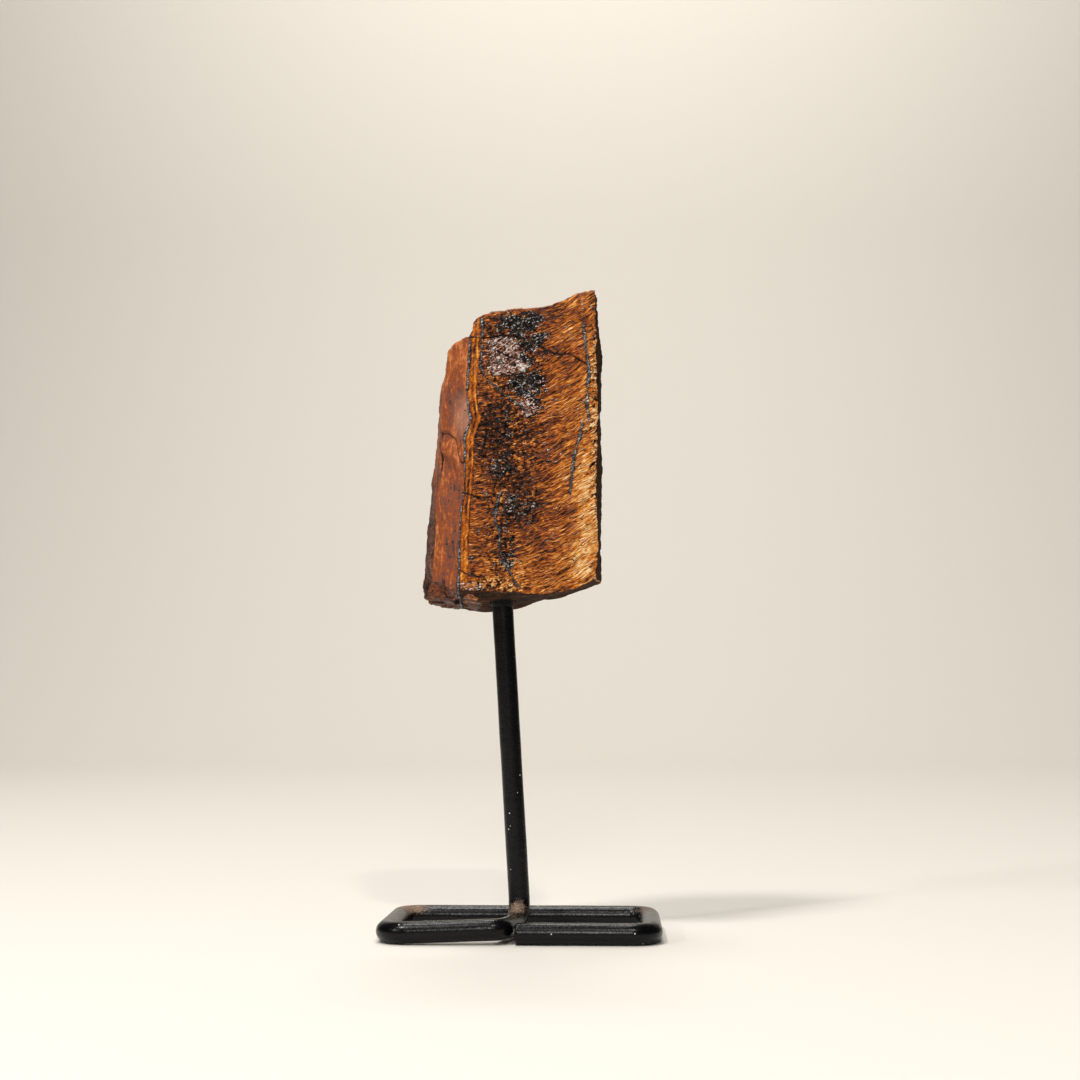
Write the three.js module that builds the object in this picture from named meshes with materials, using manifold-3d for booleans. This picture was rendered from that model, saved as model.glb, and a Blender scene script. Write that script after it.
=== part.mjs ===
// A rough block of tiger's eye, glued on the post of a bent rod stand.
// Units are millimetres. The origin lies on the surface below the middle of the base.
// X points right, Y points back and Z points up.

import * as THREE from "three";
import { mergeVertices } from "three/addons/utils/BufferGeometryUtils.js";
import Module from "manifold-3d";

const wasm = await Module();
wasm.setup();

// ---- Driving dimensions ----

const CLEARANCE = 0.3; // between pieces that touch

// Stand: one round rod, bent into an open rectangle and then up into a post.
const ROD_RADIUS = 2.45;
const ROD_SIDES = 16;
const BASE_HALF_WIDTH = 29.9; // to the rod's centre line
const BASE_HALF_DEPTH = 17.2;
const BACK_LEFT_INSET = 0.8; // the left run splays out towards the front
const CORNER_RADIUS = 4.8;
const CORNER_STEPS = 6;
const CUT_END_X = -0.6; // where the front right run starts
const TURN_X = -3.75; // where the front left run turns to the back
const TURN_RISE = 0.95; // how far that end is bent up off the surface
const TURN_RADIUS = 2.7;
const ELBOW_RADIUS = 6;
const FOOT_RISE = 0.15; // how far the elbow under the post stays off the surface
const POST_FOOT_X = -0.1;
const POST_LEAN = THREE.MathUtils.degToRad(3.34); // towards -X
const POST_TOP_Z = 88.5;

// Stone: upright veins run through it from front to back, and the seam beside the left vein
// is a step in its top. Each corner line has its [x, y] at the bottom and at the top, and how
// far it bows to the right in between.
const SEAM_HALF_WIDTH = 0.3;
const CORNER_LINES = {
  leftFront: { bottom: [-20, -5.6], top: [-16.7, -6.4], bow: -0.8 },
  leftMiddle: { bottom: [-23, 1.8], top: [-17.6, 1], bow: -1.1 },
  leftBack: { bottom: [-20.4, 10.1], top: [-16, 10.8], bow: -0.4 },
  seamFront: { bottom: [-13.4, -10.9], top: [-10.9, -11.2], bow: -0.3 },
  seamBack: { bottom: [-13, 11], top: [-10.8, 11.4], bow: 0 },
  rightFront: { bottom: [17.8, -11.9], top: [17.9, -12.2], bow: 0 },
  rightBack: { bottom: [18.4, 9.5], top: [18.5, 9.9], bow: 0.4 },
};
const LEFT_MIDDLE_AT = 0.42; // share of the depth

// Heights along the stone's edges, as [x, z] points from left to right.
const BAND_TOP = [[-18, 135.2], [-16.6, 135.8], [-15.5, 136.6], [-11.2, 138]];
const FRONT_TOP = [
  [-10.9, 141.6], [-9.7, 142.5], [0.2, 143.8], [7.1, 145.2], [16.3, 148.2], [17.9, 148.4],
];
const BACK_TOP = [[-11, 138.8], [-3, 141.6], [6, 141], [18.2, 145.2]];
const BAND_BACK_DROP = 2.2; // how far the left vein's top falls towards the back
const FRONT_BOTTOM = [
  [-20, 79.4], [-8.9, 79], [-0.9, 78.5], [5.4, 77.9], [11.2, 78.9], [17, 81], [17.9, 82],
];
const BACK_BOTTOM = [
  [-22.9, 74.6], [-13.6, 73.6], [-9.5, 73.2], [-2, 74.5],
  [4.7, 77.2], [8.6, 77.8], [12.3, 79.6], [18.7, 81.6],
];

// Grid that the stone's outside is made on.
const BAND_COLUMNS = 4;
const BLOCK_COLUMNS = 16;
const DEPTH_ROWS = 11;
const HEIGHT_ROWS = 32;

// Broken relief: the size of the facets and how far they stand in or out. It is flattest on the
// front, where the stone split cleanly.
const FACETS = [
  { size: 9, height: 0.4 },
  { size: 4, height: 0.2 },
];
const BACK_RELIEF = 2.4; // times the relief of the front

// Chips: everything past the plane through a point, on the side it faces, is broken off.
const CHIPS = [
  { at: [-17, -3, 135.7], facing: [-0.75, -0.15, 0.65] },
  { at: [17.7, -11.7, 81.6], facing: [0.45, -0.5, -0.74] },
  { at: [9, 10.6, 141], facing: [0.1, 0.86, 0.5] },
  { at: [-19.2, 9.7, 96], facing: [-0.62, 0.76, -0.18] },
  { at: [2, 11.2, 78.4], facing: [-0.1, 0.74, -0.66] },
];

// Scoops: round hollows that curved fractures leave, as balls taken out of the block.
const SCOOPS = [
  { centre: [-24, -13.3, 111.3], radius: 9.2 },
  { centre: [-22, -8.5, 74.8], radius: 7.5 },
];

// Where the post goes in: a blind hole, and glue that fills it and stands out below a little.
const HOLE_MOUTH_Z = 76.8;
const GLUE_WALL = 0.35;
const GLUE_BELOW = 0.8;
const GLUE_SIDES = 28;
const ROD_CORNER_RADIUS = ROD_RADIUS / Math.cos(Math.PI / ROD_SIDES);
const GLUE_INNER = ROD_CORNER_RADIUS + CLEARANCE;

// ---- Materials ----

const stoneMaterial = new THREE.MeshStandardMaterial({ color: 0x9a5a24, roughness: 0.45, metalness: 0 });
const paintMaterial = new THREE.MeshStandardMaterial({ color: 0x17181a, roughness: 0.4, metalness: 0.3 });
const glueMaterial = new THREE.MeshStandardMaterial({ color: 0x1b1815, roughness: 0.35, metalness: 0 });

// ---- Small helpers ----

const { lerp, clamp, smoothstep } = THREE.MathUtils;

// The value at x of a line through [x, value] points.
function alongProfile(points, x) {
  for (let i = 1; i < points.length; i += 1) {
    const [x0, value0] = points[i - 1];
    const [x1, value1] = points[i];
    if (x <= x1 || i === points.length - 1) {
      return lerp(value0, value1, clamp((x - x0) / (x1 - x0), 0, 1));
    }
  }
  return points[0][1];
}

function hash(i, j, k) {
  const wave = Math.sin(i * 127.1 + j * 311.7 + k * 74.7) * 43758.5453;
  return 2 * (wave - Math.floor(wave)) - 1;
}

// Noise from -1 to 1 that runs straight between the points of a unit grid, so it reads as facets.
function facetNoise(x, y, z) {
  const [i, j, k] = [x, y, z].map(Math.floor);
  const [u, v, w] = [x - i, y - j, z - k];
  const row = (dj, dk) => lerp(hash(i, j + dj, k + dk), hash(i + 1, j + dj, k + dk), u);
  return lerp(lerp(row(0, 0), row(1, 0), v), lerp(row(0, 1), row(1, 1), v), w);
}

function toSolid(geometry) {
  const bare = geometry.clone();
  bare.deleteAttribute("normal");
  bare.deleteAttribute("uv");
  const merged = mergeVertices(bare, 1e-4);
  const vertProperties = new Float32Array(merged.attributes.position.array);
  const triVerts = new Uint32Array(merged.index.array);
  return new wasm.Manifold(new wasm.Mesh({ numProp: 3, vertProperties, triVerts }));
}

function toGeometry(solid) {
  const mesh = solid.getMesh();
  const geometry = new THREE.BufferGeometry();
  geometry.setAttribute("position", new THREE.BufferAttribute(mesh.vertProperties, 3));
  geometry.setIndex(new THREE.BufferAttribute(mesh.triVerts, 1));
  geometry.computeVertexNormals();
  return geometry;
}

// ---- Stand ----

// A path with straight runs between its corners and a round bend at each.
class BentPath extends THREE.Curve {
  constructor(corners, radii, bendSteps) {
    super();
    const start = { point: corners[0], tangent: corners[1].clone().sub(corners[0]).normalize() };
    this.stations = [start];
    for (let i = 1; i < corners.length - 1; i += 1) {
      this.addBend(corners[i - 1], corners[i], corners[i + 1], radii[i - 1], bendSteps);
    }
    const tangent = this.stations[this.stations.length - 1].tangent;
    this.stations.push({ point: corners[corners.length - 1], tangent });
    this.steps = this.stations.length - 1;
  }

  addBend(before, corner, after, radius, bendSteps) {
    const incoming = corner.clone().sub(before).normalize();
    const outgoing = after.clone().sub(corner).normalize();
    const turn = incoming.angleTo(outgoing);
    const inward = outgoing.clone().addScaledVector(incoming, -Math.cos(turn)).normalize();
    const start = corner.clone().addScaledVector(incoming, -radius * Math.tan(turn / 2));
    const centre = start.clone().addScaledVector(inward, radius);
    for (let i = 0; i <= bendSteps; i += 1) {
      const angle = (turn * i) / bendSteps;
      const point = centre.clone().addScaledVector(inward, -radius * Math.cos(angle));
      point.addScaledVector(incoming, radius * Math.sin(angle));
      const tangent = incoming.clone().multiplyScalar(Math.cos(angle));
      tangent.addScaledVector(inward, Math.sin(angle));
      this.stations.push({ point, tangent });
    }
  }

  station(t) {
    return this.stations[Math.round(t * this.steps)];
  }

  getPoint(t) {
    return this.station(t).point.clone();
  }

  getTangent(t) {
    return this.station(t).tangent.clone();
  }

  getUtoTmapping(u) {
    return u;
  }
}

// A many-sided section with flats, not edges, on its four quarters. Its flats are one rod
// radius from the middle, so that the base rests on flat strips.
function rodSection() {
  const shape = new THREE.Shape();
  for (let i = 0; i < ROD_SIDES; i += 1) {
    const angle = ((i + 0.5) / ROD_SIDES) * 2 * Math.PI;
    const [x, y] = [ROD_CORNER_RADIUS * Math.cos(angle), ROD_CORNER_RADIUS * Math.sin(angle)];
    if (i === 0) shape.moveTo(x, y);
    else shape.lineTo(x, y);
  }
  shape.closePath();
  return shape;
}

function postPoint(z) {
  const rise = z - ROD_RADIUS - TURN_RISE;
  return new THREE.Vector3(POST_FOOT_X - rise * Math.tan(POST_LEAN), 0, z);
}

function makeStand() {
  const low = ROD_RADIUS;
  const raised = ROD_RADIUS + TURN_RISE;
  const backLeftX = BACK_LEFT_INSET - BASE_HALF_WIDTH;
  const corners = [
    new THREE.Vector3(CUT_END_X, -BASE_HALF_DEPTH, low),
    new THREE.Vector3(BASE_HALF_WIDTH, -BASE_HALF_DEPTH, low),
    new THREE.Vector3(BASE_HALF_WIDTH, BASE_HALF_DEPTH, low),
    new THREE.Vector3(backLeftX, BASE_HALF_DEPTH, low),
    new THREE.Vector3(-BASE_HALF_WIDTH, -BASE_HALF_DEPTH, low),
    new THREE.Vector3(TURN_X, -BASE_HALF_DEPTH, raised),
    postPoint(low + FOOT_RISE),
    postPoint(POST_TOP_Z),
  ];
  const baseCorners = [CORNER_RADIUS, CORNER_RADIUS, CORNER_RADIUS, CORNER_RADIUS];
  const path = new BentPath(corners, [...baseCorners, TURN_RADIUS, ELBOW_RADIUS], CORNER_STEPS);
  const options = { steps: path.steps, extrudePath: path, bevelEnabled: false };
  const mesh = new THREE.Mesh(new THREE.ExtrudeGeometry(rodSection(), options), paintMaterial);
  mesh.name = "stand";
  return mesh;
}

// ---- Stone ----

function cornerAt(name, up) {
  const { bottom, top, bow } = CORNER_LINES[name];
  const x = lerp(bottom[0], top[0], up) + bow * Math.sin(Math.PI * up);
  return new THREE.Vector2(x, lerp(bottom[1], top[1], up));
}

function leftSideAt(back, up) {
  const middle = cornerAt("leftMiddle", up);
  if (back < LEFT_MIDDLE_AT) {
    return cornerAt("leftFront", up).lerp(middle, back / LEFT_MIDDLE_AT);
  }
  const share = (back - LEFT_MIDDLE_AT) / (1 - LEFT_MIDDLE_AT);
  return middle.lerp(cornerAt("leftBack", up), share);
}

// The plan position of a grid column: the left vein, then the seam, then the main block.
function planPoint(column, back, up) {
  const seam = cornerAt("seamFront", up).lerp(cornerAt("seamBack", up), back);
  if (column <= BAND_COLUMNS) {
    seam.x -= SEAM_HALF_WIDTH;
    return leftSideAt(back, up).lerp(seam, column / BAND_COLUMNS);
  }
  seam.x += SEAM_HALF_WIDTH;
  const right = cornerAt("rightFront", up).lerp(cornerAt("rightBack", up), back);
  return seam.lerp(right, (column - BAND_COLUMNS - 1) / BLOCK_COLUMNS);
}

function topHeight(column, back, x) {
  if (column <= BAND_COLUMNS) return alongProfile(BAND_TOP, x) - back * BAND_BACK_DROP;
  return lerp(alongProfile(FRONT_TOP, x), alongProfile(BACK_TOP, x), back);
}

function bottomHeight(back, x) {
  return lerp(alongProfile(FRONT_BOTTOM, x), alongProfile(BACK_BOTTOM, x), back);
}

// Moves a point by the broken relief.
function addRelief(point, back) {
  const strength = lerp(1, BACK_RELIEF, back);
  const { x, y, z } = point;
  for (const { size, height } of FACETS) {
    point.x += strength * height * facetNoise(x / size, y / size, z / size);
    point.y += strength * height * facetNoise(x / size + 31, y / size, z / size);
    point.z += strength * height * facetNoise(x / size, y / size + 57, z / size);
  }
}

// A box whose grid points are moved to the stone's outside.
function stoneBlock() {
  const columns = BAND_COLUMNS + 1 + BLOCK_COLUMNS;
  const box = new THREE.BoxGeometry(1, 1, 1, columns, DEPTH_ROWS, HEIGHT_ROWS);
  const positions = box.attributes.position;
  const point = new THREE.Vector3();
  for (let i = 0; i < positions.count; i += 1) {
    point.fromBufferAttribute(positions, i).addScalar(0.5);
    const column = Math.round(point.x * columns);
    const [back, up] = [point.y, point.z];
    const plan = planPoint(column, back, up);
    const bottom = bottomHeight(back, plan.x);
    point.set(plan.x, plan.y, lerp(bottom, topHeight(column, back, plan.x), up));
    addRelief(point, back);
    positions.setXYZ(i, point.x, point.y, point.z);
  }
  return toSolid(box);
}

// A block that covers everything past a chip's plane.
function chipCutter({ at, facing }) {
  const size = 60;
  const geometry = new THREE.BoxGeometry(size, size, size);
  geometry.translate(0, 0, size / 2);
  const direction = new THREE.Vector3(...facing).normalize();
  geometry.applyQuaternion(new THREE.Quaternion().setFromUnitVectors(new THREE.Vector3(0, 0, 1), direction));
  geometry.translate(...at);
  return toSolid(geometry);
}

function scoopCutter({ centre, radius }) {
  const ball = new THREE.SphereGeometry(radius, 32, 20);
  return toSolid(ball.translate(...centre));
}

// Turns geometry that stands on Z = 0 so that it follows the post from the height given.
function alongPost(geometry, z) {
  geometry.rotateY(-POST_LEAN);
  const foot = postPoint(z);
  geometry.translate(foot.x, foot.y, foot.z);
  return geometry;
}

function holeCutter() {
  const radius = GLUE_INNER + GLUE_WALL + CLEARANCE;
  const below = 8;
  const depth = POST_TOP_Z - HOLE_MOUTH_Z + 2 * CLEARANCE;
  const drill = new THREE.CylinderGeometry(radius, radius, depth + below, GLUE_SIDES);
  drill.rotateX(Math.PI / 2);
  drill.translate(0, 0, (depth - below) / 2);
  return toSolid(alongPost(drill, HOLE_MOUTH_Z));
}

function makeStone() {
  let solid = stoneBlock();
  for (const chip of CHIPS) {
    solid = solid.subtract(chipCutter(chip));
  }
  for (const scoop of SCOOPS) {
    solid = solid.subtract(scoopCutter(scoop));
  }
  solid = solid.subtract(holeCutter());
  const mesh = new THREE.Mesh(toGeometry(solid), stoneMaterial);
  mesh.name = "stone";
  return mesh;
}

// ---- Glue ----

function makeGlueCollar() {
  const outer = GLUE_INNER + GLUE_WALL;
  const top = POST_TOP_Z - HOLE_MOUTH_Z - 1;
  const profile = [
    [GLUE_INNER, -GLUE_BELOW],
    [GLUE_INNER + 0.12, -GLUE_BELOW],
    [outer, 0.5 - GLUE_BELOW],
    [outer, top],
    [GLUE_INNER, top],
    [GLUE_INNER, -GLUE_BELOW],
  ];
  const geometry = new THREE.LatheGeometry(profile.map(([r, z]) => new THREE.Vector2(r, z)), GLUE_SIDES);
  geometry.rotateX(Math.PI / 2);
  const mesh = new THREE.Mesh(alongPost(geometry, HOLE_MOUTH_Z), glueMaterial);
  mesh.name = "glue_collar";
  return mesh;
}

// ---- Assembly ----

const specimen = new THREE.Group();
specimen.add(makeStone(), makeStand(), makeGlueCollar());

export default specimen;
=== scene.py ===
"""A rough block of tiger's eye on a bent rod stand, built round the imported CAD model.

The stone is the CAD stone remeshed finely, then broken up along its fibres. The stand is the same
rod swept finely round the CAD route. Blender works in metres; the sizes below are in millimetres.
"""
import math
from itertools import product

import bpy
import numpy as np
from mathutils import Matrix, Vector


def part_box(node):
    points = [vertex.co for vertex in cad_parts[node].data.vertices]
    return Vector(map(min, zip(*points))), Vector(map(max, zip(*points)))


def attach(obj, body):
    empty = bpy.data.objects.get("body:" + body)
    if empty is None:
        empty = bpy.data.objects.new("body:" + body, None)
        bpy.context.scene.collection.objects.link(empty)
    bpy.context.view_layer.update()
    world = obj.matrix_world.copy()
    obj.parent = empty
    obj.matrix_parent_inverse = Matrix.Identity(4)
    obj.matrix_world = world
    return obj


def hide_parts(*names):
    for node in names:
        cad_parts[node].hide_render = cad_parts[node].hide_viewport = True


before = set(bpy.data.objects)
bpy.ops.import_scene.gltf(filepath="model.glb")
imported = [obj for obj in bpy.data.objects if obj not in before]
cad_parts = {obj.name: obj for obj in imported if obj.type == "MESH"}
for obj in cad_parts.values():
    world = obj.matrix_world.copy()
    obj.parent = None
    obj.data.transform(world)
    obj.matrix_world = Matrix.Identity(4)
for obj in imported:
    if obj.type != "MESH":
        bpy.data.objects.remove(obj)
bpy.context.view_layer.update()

MM = 0.001

# ---- Camera ----

CAMERA_AT = (19.59, -456.0, 57.85)
CAMERA_TURN = 1.907  # degrees to the left of straight ahead
CAMERA_TILT = 4.209  # degrees upwards
CAMERA_LENS = 65.13
SENSOR_WIDTH = 36.0

# ---- Stone: veins, seams and patches of its front, as (x, z) in millimetres ----

VOXEL = 0.335  # the cell of the fine mesh
BASE_TONE = 0.405  # how light the fibres are where nothing changes it
SEAM_HALF_WIDTH = 0.38
HOLE_TOP = 100.0  # a height that the drilled hole doesn't reach

# The seam between the left vein and the main block, from bottom to top.
LEFT_SEAM = [
    (-14.2, 76), (-13.9, 82.4), (-13.7, 90.7), (-13.4, 98.5), (-12.8, 102.2), (-12.5, 111),
    (-12.6, 114.2), (-11.9, 116.3), (-11.1, 118.8), (-11.6, 120.6), (-12.0, 124.8),
    (-11.7, 130), (-11.3, 138.3),
]
# The two stretches of the seam near the right edge.
RIGHT_SEAM_UPPER = [(16.0, 118.3), (15.6, 122), (16.0, 130.3), (15.5, 133.1), (14.8, 140)]
RIGHT_SEAM_LOWER = [(11.6, 101.3), (12.2, 106.4), (12.8, 111), (13.9, 114.2), (14.5, 117.2)]
# Seams that show only on the front: below the dark patch, and low in the middle.
PATCH_SEAM = [
    (1.6, 120.4), (-0.3, 122), (-2.5, 123.4), (-4.4, 124.8), (-5.75, 126.2), (-7.8, 128),
    (-8.9, 130.3), (-8.9, 132.2), (-8.5, 137.2), (-8.6, 141.6),
]
LOW_SEAM = [
    (-0.3, 80.1), (-2.5, 83.8), (-3.9, 86.1), (-4.4, 88.8), (-4.8, 93), (-5.5, 95.3),
    (-5.3, 98.5), (-4.15, 101.5),
]
# Cracks across the front, from left to right.
CRACKS = [
    [(-12, 137.6), (-8, 137.3), (-3, 137.9), (0.5, 137.2)],
    [(4, 135.6), (6.2, 134.2), (8.9, 133.3), (11.6, 133.4), (15.6, 130.9)],
    [(-7.5, 134.9), (-4.9, 134.2), (-2.5, 132.9), (1.5, 131.8)],
    [(-13.4, 101.6), (-11.6, 101.2), (-9.2, 100.4)],
    [(-13.9, 84.0), (-11.4, 82.5), (-8.0, 82.2)],
]
# Broad light and dark: (x, z, half width, half height, change of tone).
TONE_PATCHES = [
    (-2.5, 113, 8, 10, -0.19),
    (1.0, 98.5, 5.5, 5.5, -0.24),
    (-8.5, 90.0, 3.0, 8.0, -0.06),
    (-1.5, 133.5, 7.0, 9.0, -0.17),
    (-3.2, 88.6, 1.8, 5.2, -0.22),
    (-7.4, 97.3, 3.6, 1.6, -0.15),
    (-2.0, 120.0, 4.5, 2.5, -0.05),
    (7.5, 134.2, 3.4, 1.7, -0.18),
    (0.5, 108.2, 1.5, 1.4, 0.26),
    (-6.2, 127.0, 2.2, 1.6, 0.2),
    (-6.2, 123.2, 1.8, 2.2, 0.12),
    (17.4, 128.0, 1.2, 11.0, 0.06),
    (-8.6, 94.5, 3.0, 2.6, 0.04),
    (-8.5, 86.5, 3.2, 3.6, 0.07),
    (-3.6, 80.6, 6.0, 1.9, 0.22),
    (-11.4, 76.8, 2.4, 2.0, 0.3),
    (6.5, 92.6, 3.6, 1.5, 0.1),
    (8.0, 105.0, 4.0, 5.0, -0.04),
    (9.0, 136.5, 3.0, 3.0, -0.04),
    (5.6, 84.6, 4.0, 2.2, -0.06),
    (14.9, 83.6, 2.2, 1.5, 0.12),
    (14.8, 97.0, 2.6, 12.0, 0.06),
    (11.5, 137.6, 3.5, 2.2, 0.04),
    (10.0, 142.0, 5.0, 2.2, -0.1),
    (-7.0, 141.2, 2.6, 1.6, -0.1),
]
# The glassy dark mineral: (x, z, half width, half height).
MINERAL_PATCHES = [
    (0.5, 140.6, 5.4, 2.8),
    (2.4, 136.6, 3.8, 3.4),
    (-4.2, 135.0, 3.8, 2.8),
    (-2.4, 131.4, 5.6, 3.4),
    (1.6, 126.8, 4.4, 3.8),
    (2.6, 121.4, 2.6, 2.6),
]
# Where it shows only in scraps.
MINERAL_TRACES = [
    (-3.0, 116.6, 1.8, 4.2),
    (-4.4, 107.4, 3.4, 2.6),
    (0.4, 98.4, 4.0, 3.0),
    (-2.9, 88.6, 2.0, 5.6),
    (-11.2, 79.8, 3.8, 1.4),
]
# Where that mineral is pale and pinkish, like crushed quartz.
PALE_PATCHES = [
    (-4.4, 134.4, 4.6, 3.0),
    (-2.8, 130.6, 4.8, 2.2),
    (1.8, 121.2, 2.6, 2.0),
    (-11.4, 80.0, 4.0, 2.0),
]
# Where the gold fibres show on the underside.
BARE_CORNER = [(-11.5, 76.6, 2.0, 1.6)]
# Where the texture is crushed into grains instead of lying in fibres.
GRAIN_PATCHES = [
    (-3.0, 112.5, 8.0, 11.5),
    (-4.4, 88.6, 3.4, 7.0),
    (-1.5, 99.0, 7.0, 5.0),
    (-4.5, 80.6, 6.5, 2.6),
    (-1.5, 132.5, 7.5, 10.5),
    (17.7, 118.0, 1.5, 24.0),
]
# The shell-shaped dent of the left vein: the edge above it and the hollow below it.
DENT_EDGE = [(-20, 116.4), (-16.8, 116.2), (-14.7, 114.2), (-14.1, 110.8), (-13.6, 109.0)]
DENT_HOLLOW = [(-20, 112.4), (-18.4, 111.4), (-15.8, 108.5), (-13.2, 106.5)]


def smooth(low, high, value):
    """0 at low, 1 at high and a smooth change between them; low may be the larger."""
    share = np.clip((value - low) / (high - low), 0.0, 1.0)
    return share * share * (3.0 - 2.0 * share)


def lattice(i, j, k, seed):
    """A repeatable number from -1 to 1 at each whole-number point."""
    mixed = (i * 374761393 + j * 668265263 + k * 1440662683 + seed * 974634777) & 0xFFFFFFFF
    mixed = ((mixed ^ (mixed >> 13)) * 1274126177) & 0xFFFFFFFF
    mixed = ((mixed ^ (mixed >> 16)) * 2246822519) & 0xFFFFFFFF
    return ((mixed ^ (mixed >> 15)) & 0xFFFFFF) / 0x7FFFFF - 1.0


def noise(points, seed):
    """Smooth noise from -1 to 1 whose bumps are about one unit apart."""
    cell = np.floor(points).astype(np.int64)
    part = points - cell
    part = part ** 3 * (part * (part * 6.0 - 15.0) + 10.0)
    total = np.zeros(len(points))
    for corner in product((0, 1), repeat=3):
        near = [part[:, axis] if step else 1.0 - part[:, axis] for axis, step in enumerate(corner)]
        where = cell + np.array(corner)
        total += near[0] * near[1] * near[2] * lattice(where[:, 0], where[:, 1], where[:, 2], seed)
    return total


def facets(points, seed):
    """Heights from about -1 to 1 of small flat facets that tilt every way, as in crushed rock."""
    cell = np.floor(points).astype(np.int64)
    best = np.full(len(points), np.inf)
    height = np.zeros(len(points))
    for step in product((-1, 0, 1), repeat=3):
        i, j, k = (cell + np.array(step)).T
        middle = np.stack([lattice(i, j, k, seed + n) for n in range(3)], axis=1) * 0.45
        offset = points - (np.stack([i, j, k], axis=1) + 0.5 + middle)
        distance = (offset ** 2).sum(axis=1)
        tilt = np.stack([lattice(i, j, k, seed + 3 + n) for n in range(3)], axis=1)
        level = 0.5 * lattice(i, j, k, seed + 6) + (tilt * offset).sum(axis=1)
        closer = distance < best
        best[closer] = distance[closer]
        height[closer] = level[closer]
    return height


def patches(x, z, spots, soft=1.0):
    """The strongest of the soft ovals at each place, from 0 to 1."""
    covered = np.zeros(len(x))
    for middle_x, middle_z, half_width, half_height in spots:
        far = ((x - middle_x) / half_width) ** 2 + ((z - middle_z) / half_height) ** 2
        covered = np.maximum(covered, smooth(1.0 + 0.5 * soft, 1.0 - 0.5 * soft, far))
    return covered


def beside(line, x, z):
    """Signed distance from an upright line of (x, z) points, larger past its two ends."""
    line_x, line_z = np.array(line).T
    order = np.argsort(line_z)
    sideways = x - np.interp(z, line_z[order], line_x[order])
    beyond = np.maximum(np.maximum(line_z.min() - z, z - line_z.max()), 0.0)
    return np.where(sideways < 0, -1.0, 1.0) * np.hypot(sideways, beyond)


def above(line, x, z):
    """Signed distance from a line of (x, z) points that runs from left to right."""
    return beside([(b, a) for a, b in line], z, x)


def nearest(distances):
    """The signed distance whose size is the smallest at each place."""
    stack = np.stack(distances)
    return np.take_along_axis(stack, np.abs(stack).argmin(axis=0)[None], axis=0)[0]


# ---- Meshes ----


def mesh_points(mesh, name="co"):
    """Every vertex's place or normal as an array of rows."""
    values = np.empty(len(mesh.vertices) * 3, np.float32)
    mesh.vertices.foreach_get(name, values)
    return values.reshape(-1, 3).astype(float)


def mesh_edges(mesh):
    ends = np.empty(len(mesh.edges) * 2, np.int32)
    mesh.edges.foreach_get("vertices", ends)
    return ends.reshape(-1, 2)


def blurred(values, edges, rounds):
    """Values averaged with their neighbours' along the edges, that many times."""
    columns = values.reshape(len(values), -1).copy()
    count = np.bincount(edges.ravel(), minlength=len(columns))[:, None] + 1.0
    for _ in range(rounds):
        total = columns.copy()
        for column in range(columns.shape[1]):
            for one, other in ((0, 1), (1, 0)):
                weights = columns[edges[:, other], column]
                total[:, column] += np.bincount(edges[:, one], weights, len(columns))
        columns = total / count
    return columns.reshape(values.shape)


def set_points(mesh, points):
    mesh.vertices.foreach_set("co", np.ascontiguousarray(points, np.float32).ravel())
    mesh.update()


def add_value(mesh, name, values):
    data = mesh.attributes.new(name, "FLOAT", "POINT").data
    data.foreach_set("value", np.ascontiguousarray(values, np.float32))


def add_vector(mesh, name, vectors):
    data = mesh.attributes.new(name, "FLOAT_VECTOR", "POINT").data
    data.foreach_set("vector", np.ascontiguousarray(vectors, np.float32).ravel())


def link_piece(name, mesh, replaced, material):
    """Adds a finished mesh to the scene in place of a CAD node."""
    piece = bpy.data.objects.new(name, mesh)
    bpy.context.scene.collection.objects.link(piece)
    mesh.materials.clear()
    mesh.materials.append(material)
    mesh.polygons.foreach_set("use_smooth", [True] * len(mesh.polygons))
    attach(piece, "root")
    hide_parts(replaced)


# ---- Materials ----


def srgb(code):
    """A colour written as six hex digits, in the linear values that shaders use."""
    parts = [int(code[i : i + 2], 16) / 255.0 for i in (0, 2, 4)]
    linear = [p / 12.92 if p <= 0.04045 else ((p + 0.055) / 1.055) ** 2.4 for p in parts]
    return (*linear, 1.0)


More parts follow.
